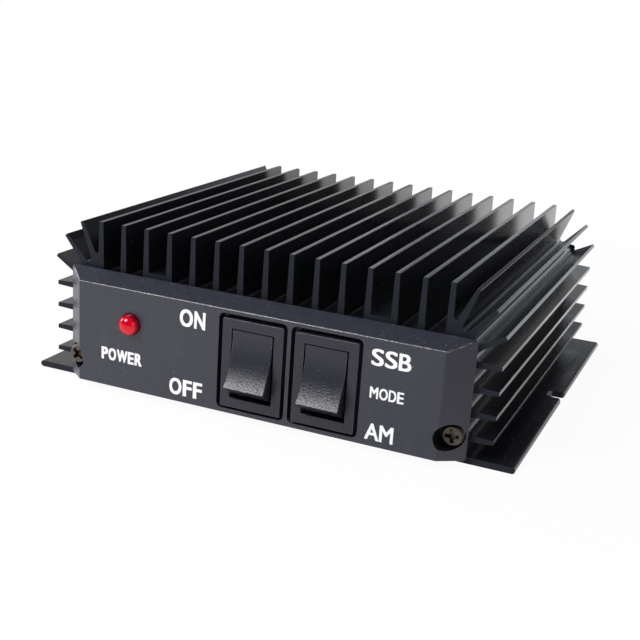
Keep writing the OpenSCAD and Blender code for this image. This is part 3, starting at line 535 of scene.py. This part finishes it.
def new_piece(name, bm, finish, node, stands_in=True):
    """Makes a piece of a finished bmesh that rides as a node and, unless stands_in is false, stands in
    for it.
    """
    mesh = bpy.data.meshes.new(name)
    bm.to_mesh(mesh)
    bm.free()
    mesh.polygons.foreach_set("use_smooth", [True] * len(mesh.polygons))
    mesh.set_sharp_from_angle(angle=SMOOTH)
    obj = bpy.data.objects.new(name, mesh)
    bpy.context.scene.collection.objects.link(obj)
    dress(obj, finish)
    flat = obj.modifiers.new("flat faces", "WEIGHTED_NORMAL")
    flat.keep_sharp = True
    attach(obj, BODY_OF[node])
    slot_of(node)
    if stands_in:
        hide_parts(node)


def slot_of(node):
    """The record's material slot of a node."""
    return next(s["material_slot"] for s in frame["record"]["subparts"] if s["node"] == node)


def mark_layer(bm, name):
    """The layer of the faces that a material reads as a mark."""
    return bm.faces.layers.float.get(name) or bm.faces.layers.float.new(name)


def flattened(bm):
    """Takes out the lines between faces that lie in one plane."""
    bmesh.ops.dissolve_limit(bm, angle_limit=FLAT, verts=bm.verts, edges=bm.edges)


def bent(edge, angle):
    """Whether an edge joins two faces at more than an angle."""
    return len(edge.link_faces) == 2 and edge.calc_face_angle(0) > angle


def corner_rank(vert):
    """More for a vertex that is more of a corner."""
    return sum(1 for e in vert.link_edges if bent(e, CORNER)), len(vert.link_edges)


def weld_short(bm, least):
    """Welds the ends of each edge under least metres, and keeps the one that is more of a corner.

    Each round can leave new short edges, so there are up to WELD_ROUNDS.
    """
    for _ in range(WELD_ROUNDS):
        targets, used = {}, set()
        for edge in sorted(bm.edges, key=lambda e: e.calc_length()):
            if edge.calc_length() >= least:
                break
            if used.isdisjoint(edge.verts):
                drop, keep = sorted(edge.verts, key=corner_rank)
                targets[drop] = keep
                used.update(edge.verts)
        if not targets:
            break
        bmesh.ops.weld_verts(bm, targetmap=targets)
        flattened(bm)


def roomy(edges, rounding):
    """Leaves out edges that end on an unrounded edge too short for the rounding."""
    chosen = set(edges)
    while True:
        tight = {edge for edge in chosen for vert in edge.verts for other in vert.link_edges
                 if other not in chosen and other.calc_length() < 1.5 * rounding}
        if not tight:
            return [edge for edge in edges if edge in chosen]
        chosen -= tight


def refined(node, finish, rounds, weld=0.0, cuts=(), marks=None):
    """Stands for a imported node: the same solid with its edges rounded, and marked for its finish.

    Each of rounds is the choice of edges, the rounding, its segments and the wear, which is
    a number or is asked of each new face. Edges under weld metres are closed first, cuts are
    places along Y where the faces are divided, and marks are tests of the faces by name.
    """
    bm = bmesh.new()
    bm.from_mesh(NODES[node].data)
    bmesh.ops.remove_doubles(bm, verts=bm.verts, dist=SAME)
    flattened(bm)
    weld_short(bm, weld)
    for y in cuts:
        bmesh.ops.bisect_plane(
            bm, geom=[*bm.verts, *bm.edges, *bm.faces], plane_co=(0, y, 0), plane_no=(0, 1, 0))
    layer = mark_layer(bm, "edge")
    for chosen, rounding, segments, wear in rounds:
        sharp = [edge for edge in bm.edges if bent(edge, SHARP) and chosen(edge)]
        made = bmesh.ops.bevel(
            bm, geom=roomy(sharp, rounding), offset=rounding, offset_type="OFFSET",
            segments=segments, profile=0.5, affect="EDGES", clamp_overlap=False, material=-1)
        for face in made["faces"]:
            face[layer] = wear(face) if callable(wear) else wear
    for name, test in (marks or {}).items():
        layer = mark_layer(bm, name)
        for face in bm.faces:
            face[layer] = float(test(face))
    new_piece(node + "_fine", bm, finish, node)


def middle(edge):
    return (edge.verts[0].co + edge.verts[1].co) / 2


def along(edge, letter):
    """Whether an edge runs along an axis, to within about 2.5 degrees."""
    run = (edge.verts[1].co - edge.verts[0].co).normalized()
    return abs(getattr(run, letter)) > 0.999


def turned(points, at, steps=96, arc=2 * math.pi, start=0.0):
    """A shape turned about a line along Y through at; points are (radius, y) pairs in metres."""
    bm = bmesh.new()
    aim = Vector((math.cos(start), 0, math.sin(start)))
    ring = [bm.verts.new(Vector((at.x, y, at.z)) + aim * r) for r, y in points]
    whole = arc > math.radians(359)
    hollow = points[0][0] > SAME and points[-1][0] > SAME
    edges = [bm.edges.new(pair) for pair in zip(ring, ring[1:])]
    if hollow:
        edges.append(bm.edges.new((ring[-1], ring[0])))
    bmesh.ops.spin(
        bm, geom=ring + edges, cent=(at.x, 0, at.z), axis=(0, -1, 0), angle=arc, steps=steps,
        use_merge=whole, use_duplicate=False)
    bmesh.ops.remove_doubles(bm, verts=bm.verts, dist=SAME)
    if not whole:
        bmesh.ops.holes_fill(bm, edges=[e for e in bm.edges if e.is_boundary])
    bmesh.ops.recalc_face_normals(bm, faces=bm.faces)
    return bm


def merged(*parts):
    """Several bmeshes as one."""
    whole = bmesh.new()
    for part in parts:
        mesh = bpy.data.meshes.new("part")
        part.to_mesh(mesh)
        part.free()
        whole.from_mesh(mesh)
        bpy.data.meshes.remove(mesh)
    return whole


# ---------------------------------------------------------------- operators


class AMPLIFIER_OT_case(bpy.types.Operator):
    """Finned extrusion with sawn ends, and its bottom cover"""

    bl_idname = "amplifier.case"
    bl_label = "Case"

    def execute(self, context):
        rounding = context.scene.amplifier_sizes.fin_edge
        long = 10 * MM

        def outline(edge):
            return edge.is_convex and edge.calc_length() > long

        def run(edge):
            return outline(edge) and along(edge, "y")

        sawn = {"sawn": lambda face: abs(face.normal.y) > 0.9}
        refined("heatsink", "black_anodising", [(run, rounding, 2, 1.0)], marks=sawn)
        refined("bottom_cover", "black_anodising", [(outline, rounding, 2, 0.5)], marks=sawn)
        return {"FINISHED"}


class AMPLIFIER_OT_panels(bpy.types.Operator):
    """Bevelled end panels with soft, worn bends"""

    bl_idname = "amplifier.panels"
    bl_label = "End panels"

    def execute(self, context):
        rounding = context.scene.amplifier_sizes.panel_edge

        def bend(edge):
            """A bend of the bevelled front, leaving out the short ones in holes."""
            at = middle(edge)
            outer = at.z > TOP_BEND_Z or at.z < FOOT_BEND_Z or abs(at.x) > SIDE_BEND_X
            return edge.is_convex and edge.calc_length() > 0.9 * MM and abs(at.y) > BENDS_Y and outer

        def rest(edge):
            return edge.is_convex and edge.calc_length() > 0.1 * MM and abs(middle(edge).y) > RIM_Y

        def top_wear(face):
            return float(face.calc_center_median().z > TOP_BEND_Z)

        for node, side in (("front_panel", -1), ("rear_panel", 1)):
            rounds = [(bend, rounding, 3, top_wear), (rest, 0.25 * rounding, 1, 0.3)]
            refined(node, "grained_panel", rounds, weld=0.12 * MM, cuts=[side * BENDS_Y])
        return {"FINISHED"}


class AMPLIFIER_OT_switches(bpy.types.Operator):
    """Two rocker switches: cases, rockers and what is inside them"""

    bl_idname = "amplifier.switches"
    bl_label = "Rocker switches"

    def execute(self, context):
        rounding = context.scene.amplifier_sizes.moulding_edge

        def outside(edge):
            return edge.is_convex and edge.calc_length() > 0.1 * MM

        for name in ("power_switch", "mode_switch"):
            housing, rocker = (outside, 0.7 * rounding, 2, 1.0), (outside, rounding, 2, 1.0)
            refined(name + "_housing", "satin_switch", [housing], weld=0.14 * MM)
            refined(name + "_rocker", "satin_switch", [rocker])
            dress_nodes("white_nylon", name + "_plunger")
            dress_nodes("spring_steel", name + "_spring")
            dress_nodes("brass", name + "_contact", name + "_terminals")
        dress_nodes("red_wire", "power_switch_wires")
        dress_nodes("blue_wire", "mode_switch_wires")
        return {"FINISHED"}


class AMPLIFIER_OT_lamp(bpy.types.Operator):
    """Red lamp with a domed lens"""

    bl_idname = "amplifier.lamp"
    bl_label = "Lamp"

    def execute(self, context):
        node = "power_lamp"
        low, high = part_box(node)
        collar, collar_y = (high.x - low.x) / 2, high.y - 1.0 * MM
        dome = [(LAMP_R * math.sin(angle), low.y + LAMP_R * (1 - math.cos(angle)))
                for angle in (math.radians(6 * i) for i in range(16))]
        skirt = [(LAMP_R, collar_y - 0.1 * MM), (LAMP_R + 0.05 * MM, collar_y),
                 (collar, collar_y), (collar, high.y), (0, high.y)]
        lens = turned(dome + skirt, LAMP_AT, 64)
        new_piece(node + "_lens", lens, "red_lens", node)
        dress_nodes("grey_wire", "power_lamp_leads")
        return {"FINISHED"}


class AMPLIFIER_OT_screws(bpy.types.Operator):
    """Cross-recess screws of the panels and the cover"""

    bl_idname = "amplifier.screws"
    bl_label = "Screws"

    def execute(self, context):
        rounding = context.scene.amplifier_sizes.screw_edge
        head = 1.9 * MM

        def rim(edge):
            at = middle(edge)
            return edge.is_convex and away(abs(at.x), at.z, SCREW_AT) > head

        def recess(edge):
            return edge.is_convex

        for node in ("front_panel_screws", "rear_panel_screws"):
            refined(node, "dark_screw", [(rim, rounding, 3, 1.0), (recess, 0.3 * rounding, 1, 1.0)])
        refined("bottom_cover_screws", "dark_screw", [(recess, 0.3 * rounding, 1, 1.0)])
        return {"FINISHED"}


class AMPLIFIER_OT_sockets(bpy.types.Operator):
    """Threaded aerial sockets and the supply lead's grommet"""

    bl_idname = "amplifier.sockets"
    bl_label = "Sockets and grommet"

    def shell(self, node, x, sizes):
        """Flange and threaded barrel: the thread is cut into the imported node's plain barrel."""
        low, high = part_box(node)
        flange = (high.x - low.x) / 2
        crest, mouth, bore, neck = 7.94 * MM, 6.15 * MM, 4.6 * MM, 6.3 * MM
        root = crest - sizes.thread_depth
        face, floor = -FACE_Y, high.y - 10 * MM
        shoulder = face + 2.3 * MM
        start, pitch = shoulder + 1.2 * MM, sizes.thread_pitch
        soft, tip = 0.25 * MM, 0.45 * MM
        outer = [(bore, low.y), (neck, low.y), (neck, face), (flange - 0.2 * MM, face),
                 (flange, face + 0.2 * MM), (flange, shoulder - soft), (flange - soft, shoulder),
                 (root, shoulder), (root, start - 0.4 * pitch)]
        for turn in range(int((high.y - 0.5 * MM - start) / pitch) + 1):
            y = start + pitch * turn
            outer += [(root, y - 0.34 * pitch), (crest, y - 0.08 * pitch),
                      (crest, y + 0.08 * pitch), (root, y + 0.34 * pitch)]
        end = [(root, high.y - tip), (root - 0.35 * MM, high.y), (mouth + soft, high.y),
               (mouth, high.y - soft), (mouth, floor), (bore, floor)]
        barrel = turned(outer + end, Vector((x, 0, SOCKET_Z)))
        new_piece(node + "_threaded", barrel, "nickel", node)

    def contact(self, node, x):
        """Tail, and four leaves with slits between them."""
        low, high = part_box(node)
        at = Vector((x, 0, SOCKET_Z))
        bore, outside, tail = 2.0 * MM, 2.8 * MM, 1.4 * MM
        root, step, floor = high.y - 8.6 * MM, -FACE_Y + 1 * MM, -FACE_Y + 1.5 * MM
        leaf = [(bore, root), (outside, root), (outside, high.y - 0.3 * MM),
                (outside - 0.3 * MM, high.y), (bore + 0.15 * MM, high.y), (bore, high.y - 0.2 * MM)]
        slit, quarter = 0.26, math.pi / 2
        leaves = [turned(leaf, at, 16, quarter - slit, quarter * i + slit / 2) for i in range(4)]
        base = turned([(0, low.y), (tail, low.y), (tail, step), (outside, step), (outside, root),
                       (bore, root), (bore, floor), (0, floor)], at, 64)
        new_piece(node + "_slit", merged(base, *leaves), "brass", node)

    def grommet(self, node):
        """A soft ring with a groove for the panel's edge."""
        low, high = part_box(node)
        lip, bore, waist = (high.x - low.x) / 2, 2.9 * MM, 4.9 * MM
        face, inside = -FACE_Y, -FACE_Y - 2 * MM
        soft, curl = 0.55 * MM, 0.15 * MM
        points = [(bore + soft, high.y), (lip - soft, high.y), (lip - curl, high.y - curl),
                  (lip, high.y - soft), (lip, face), (waist, face), (waist, inside), (lip, inside),
                  (lip, low.y + soft), (lip - curl, low.y + curl), (lip - soft, low.y),
                  (bore + soft, low.y), (bore + curl, low.y + curl), (bore, low.y + soft),
                  (bore, high.y - soft), (bore + curl, high.y - curl)]
        ring = turned(points, Vector((0, 0, SOCKET_Z)), 72)
        new_piece(node + "_soft", ring, "black_rubber", node)

    def execute(self, context):
        sizes = context.scene.amplifier_sizes
        for side, x in (("input", -SOCKET_X), ("output", SOCKET_X)):
            self.shell(side + "_socket_shell", x, sizes)
            self.contact(side + "_socket_contact", x)
            dress_nodes("white_nylon", side + "_socket_insulator")
            dress_nodes("nickel", side + "_socket_washer", side + "_socket_nut")
            dress_nodes("tinned_copper", side + "_socket_wire")
        self.grommet("power_lead_grommet")
        return {"FINISHED"}


class AMPLIFIER_OT_electronics(bpy.types.Operator):
    """Finishes of everything on and around the circuit board"""

    bl_idname = "amplifier.electronics"
    bl_label = "Electronics"

    def execute(self, context):
        dress_nodes("board", "circuit_board")
        dress_nodes("nickel", "board_spacers", "board_screws", "transistor_screws", "fuse_clips")
        dress_nodes("moulded_epoxy", "transistor_1", "transistor_2", "transistor_3", "transistor_4")
        dress_nodes("thermal_pad", "transistor_insulators")
        dress_nodes("ferrite", "input_transformer", "output_transformer")
        dress_nodes("copper", "supply_choke", "filter_coils")
        dress_nodes("relay_case", "input_relay", "output_relay")
        dress_nodes("capacitor_sleeve", "electrolytic_capacitors")
        dress_nodes("mica_dip", "mica_capacitors")
        dress_nodes("resistor_body", "bias_resistors")
        dress_nodes("fuse_glass", "fuse")
        return {"FINISHED"}


class AMPLIFIER_OT_words(bpy.types.Operator):
    """Plain printed words beside the switches and under the lamp"""

    bl_idname = "amplifier.words"
    bl_label = "Printed words"

    # word: left, right, bottom and top in millimetres, and boldness in shares of a letter
    places = {
        "ON": (-17.8, -11.25, 20.3, 24.4, 0.038),
        "OFF": (-20.07, -11.52, 3.45, 7.47, 0.038),
        "POWER": (-38.6, -27.6, 8.3, 11.3, 0.05),
        "SSB": (28.67, 37.59, 20.3, 24.1, 0.022),
        "MODE": (28.9, 36.6, 12.9, 15.5, 0.03),
        "AM": (28.45, 34.98, 3.3, 7.14, 0.022),
    }
    # letter: its width and the space after it, in shares that each word is stretched by
    widths = {
        "A": (1.0, 0.02), "B": (0.84, 0.09), "D": (0.86, 0.09), "E": (0.75, 0.1),
        "F": (0.7, 0.1), "M": (0.96, 0.12), "N": (0.81, 0.12), "O": (0.96, 0.1),
        "P": (0.81, 0.06), "R": (0.87, 0.08), "S": (0.84, 0.08), "W": (1.3, 0.04),
    }

    def letter(self, context, sign, bold):
        """A letter as closed solids in a box of one unit, four a little apart to make it bolder."""
        curve = bpy.data.curves.new(sign, "FONT")
        curve.body = sign
        curve.size = 1.0
        curve.extrude = 0.5
        curve.resolution_u = 6
        holder = bpy.data.objects.new(sign, curve)
        context.scene.collection.objects.link(holder)
        context.view_layer.update()
        depsgraph = context.evaluated_depsgraph_get()
        mesh = bpy.data.meshes.new_from_object(holder.evaluated_get(depsgraph))
        bpy.data.objects.remove(holder)
        whole = bmesh.new()
        for i, (x, y) in enumerate(((-1, -1), (1, -1), (1, 1), (-1, 1))):
            bm = bmesh.new()
            bm.from_mesh(mesh)
            shift = Vector((bold * x, 0.55 * bold * y, 0.02 * i))
            bmesh.ops.translate(bm, vec=shift, verts=bm.verts)
            bmesh.ops.remove_doubles(bm, verts=bm.verts, dist=10 * SAME)
            whole = merged(whole, bm)
        bpy.data.meshes.remove(mesh)
        low = Vector(min(v.co[i] for v in whole.verts) for i in range(3))
        high = Vector(max(v.co[i] for v in whole.verts) for i in range(3))
        fit = Matrix.Diagonal([1 / v for v in high - low]).to_4x4() @ Matrix.Translation(-low)
        bmesh.ops.transform(whole, matrix=fit, verts=whole.verts)
        return whole

    def execute(self, context):
        depth = context.scene.amplifier_sizes.print_depth
        for word, (*sides, bold) in self.places.items():
            left, right, bottom, top = (v * MM for v in sides)
            run = sum(sum(self.widths[sign]) for sign in word) - self.widths[word[-1]][1]
            scale = (right - left) / run
            letters, at = [], left
            for sign in word:
                width, space = self.widths[sign]
                bm = self.letter(context, sign, bold)
                place_at = Matrix.Translation((at, FACE_Y, bottom))
                upright = Matrix.Rotation(math.pi / 2, 4, "X")
                size = Matrix.Diagonal((width * scale, top - bottom, depth, 1))
                bmesh.ops.transform(bm, matrix=place_at @ upright @ size, verts=bm.verts)
                letters.append(bm)
                at += (width + space) * scale
            new_piece("word_" + word.lower(), merged(*letters), "white_print", "front_panel", False)
        return {"FINISHED"}


class AMPLIFIER_OT_stage(bpy.types.Operator):
    """White floor, dim room, soft studio light and the camera"""

    bl_idname = "amplifier.stage"
    bl_label = "Stage"

    floor_size = 9.0
    floor_gap = 0.05 * MM
    # light: its place and the side of its square, in metres
    lights = {
        "key": ((-0.42, -0.56, 0.70), 0.4),
        "fill": ((0.9, -0.45, 0.35), 0.5),
        "side": ((-0.95, 0.05, 0.3), 0.4),
        "rim": ((-0.60, 0.72, 0.42), 0.8),
    }
    lit = Vector((0, 0, 15)) * MM
    camera_at = Vector((103.20, -268.27, 100.87)) * MM
    camera_turn = (22.1876, 17.5925, 3.898)  # yaw, pitch and roll in degrees

    def paper(self):
        """White paper that keeps a trace of the object's shadow where the camera looks.

        A reflection sees it white behind on the right and beside the left end, and greyer
        in front towards the right. The rest is nearly dark, like the far end of a studio.
        """
        f = Finish("white_paper")
        seen = (f.ray("Is Camera Ray") + f.ray("Is Glossy Ray") + f.ray("Is Transmission Ray")).capped()
        x, y = f.axis("X"), f.axis("Y")
        white = 0.95 + 0.05 * f.ramp((x ** 2 + y ** 2) ** 0.5, 0.12, 0.32)
        front = (0.8 - 2.8 * x).capped(0.4)
        beside = f.ramp(x, -0.03, -0.07) * f.ramp(y, -0.055, -0.04)
        behind = f.ramp(y, 0.03, 0.08)
        clear = 0.05 + 0.95 * f.ramp(x, 0.03, 0.07)
        mirrored = (front + beside).capped() * (1 - behind) + clear * behind
        level = 1 - f.ray("Is Glossy Ray") * (1 - mirrored)
        fibre = f.noise(4 * MM, 2)
        f.shade(Base_Color=f.tint(fibre, (0.84, 0.84, 0.84), (0.88, 0.88, 0.88)), Roughness=0.8)
        glow = f.node("ShaderNodeEmission", values={"Color": (1, 1, 1, 1), "Strength": level})
        shadowed = Signal(f.tree, f.shader.outputs[0])
        mixed = f.node("ShaderNodeMixShader", values={0: seen * white, 1: shadowed, 2: glow})
        join(f.tree, mixed, f.output.inputs["Surface"])
        return f.material

    def floor(self):
        bm = bmesh.new()
        bmesh.ops.create_grid(
            bm, x_segments=1, y_segments=1, size=self.floor_size / 2,
            matrix=Matrix.Translation((0, 0, -self.floor_gap)))
        mesh = bpy.data.meshes.new("floor")
        bm.to_mesh(mesh)
        bm.free()
        mesh.materials.append(self.paper())
        obj = bpy.data.objects.new("floor", mesh)
        bpy.context.scene.collection.objects.link(obj)

    def softbox(self, name, at, size, power):
        data = bpy.data.lights.new(name, "AREA")
        data.size = size
        data.energy = power
        obj = bpy.data.objects.new(name, data)
        bpy.context.scene.collection.objects.link(obj)
        obj.location = at
        obj.rotation_mode = "QUATERNION"
        obj.rotation_quaternion = (self.lit - Vector(at)).to_track_quat("-Z", "Y")

    def camera(self, studio):
        """The camera of the photo, which is held a little aslant."""
        yaw, pitch, roll = (math.radians(angle) for angle in self.camera_turn)
        heading = Vector((-math.sin(yaw), math.cos(yaw), 0))
        ahead = heading * math.cos(pitch) - Vector((0, 0, math.sin(pitch)))
        level = Vector((math.cos(yaw), math.sin(yaw), 0))
        up = level.cross(ahead)
        right = math.cos(roll) * level + math.sin(roll) * up
        above = math.cos(roll) * up - math.sin(roll) * level
        data = bpy.data.cameras.new("camera")
        data.lens = studio.lens
        data.sensor_width = 36
        data.clip_start, data.clip_end = 0.01, 20
        obj = bpy.data.objects.new("camera", data)
        bpy.context.scene.collection.objects.link(obj)
        turn = Matrix((right, above, -ahead)).transposed().to_4x4()
        obj.matrix_world = Matrix.Translation(self.camera_at) @ turn
        bpy.context.scene.camera = obj

    def room(self, scene, studio):
        """A dim room, white to the camera; reflections see a pale low wall behind on the right."""
        f = Sky("room")
        camera, glossy = f.ray("Is Camera Ray"), f.ray("Is Glossy Ray")
        x, y, z = (f.axis(letter) for letter in "XYZ")
        wall = f.ramp(y, 0.85, 0.9) * f.ramp(x + z, -0.2, 0.0) * f.ramp(z, 0.31, 0.19)
        mirrored = (studio.gloom + wall + studio.ceiling * f.ramp(z, 0.55, 0.9)).capped()
        level = studio.room + glossy * (mirrored - studio.room)
        f.light(level + camera * (1 - level), f.tint(camera, (0.88, 0.93, 1.0), (1, 1, 1)))
        scene.world = f.world

    def execute(self, context):
        studio = context.scene.amplifier_studio
        self.floor()
        for name, (at, size) in self.lights.items():
            self.softbox(name + "_light", at, size, getattr(studio, name))
        self.room(context.scene, studio)
        context.scene.view_settings.view_transform = "Standard"
        self.camera(studio)
        return {"FINISHED"}


STEPS = (
    AMPLIFIER_OT_stage,
    AMPLIFIER_OT_case,
    AMPLIFIER_OT_panels,
    AMPLIFIER_OT_switches,
    AMPLIFIER_OT_lamp,
    AMPLIFIER_OT_screws,
    AMPLIFIER_OT_sockets,
    AMPLIFIER_OT_electronics,
    AMPLIFIER_OT_words,
)


class AMPLIFIER_PT_panel(bpy.types.Panel):
    """The steps and their settings"""

    bl_idname = "AMPLIFIER_PT_panel"
    bl_label = "HF Linear Amplifier"
    bl_space_type = "VIEW_3D"
    bl_region_type = "UI"
    bl_category = "Amplifier"

    def draw(self, context):
        for step in STEPS:
            self.layout.operator(step.bl_idname)
        for group in (context.scene.amplifier_sizes, context.scene.amplifier_colours,
                      context.scene.amplifier_studio):
            column = self.layout.column()
            for name in group.__annotations__:
                column.prop(group, name)


CLASSES = (AmplifierSizes, AmplifierColours, StudioSettings, *STEPS, AMPLIFIER_PT_panel)


def register():
    for cls in CLASSES:
        bpy.utils.register_class(cls)
    bpy.types.Scene.amplifier_sizes = PointerProperty(type=AmplifierSizes)
    bpy.types.Scene.amplifier_colours = PointerProperty(type=AmplifierColours)
    bpy.types.Scene.amplifier_studio = PointerProperty(type=StudioSettings)


def unregister():
    del bpy.types.Scene.amplifier_studio
    del bpy.types.Scene.amplifier_colours
    del bpy.types.Scene.amplifier_sizes
    for cls in reversed(CLASSES):
        bpy.utils.unregister_class(cls)


def main():
    register()
    for step in STEPS:
        group, name = step.bl_idname.split(".")
        if getattr(getattr(bpy.ops, group), name)() != {"FINISHED"}:
            raise RuntimeError(f"{step.bl_label} didn't finish")


if __name__ == "__main__":
    main()
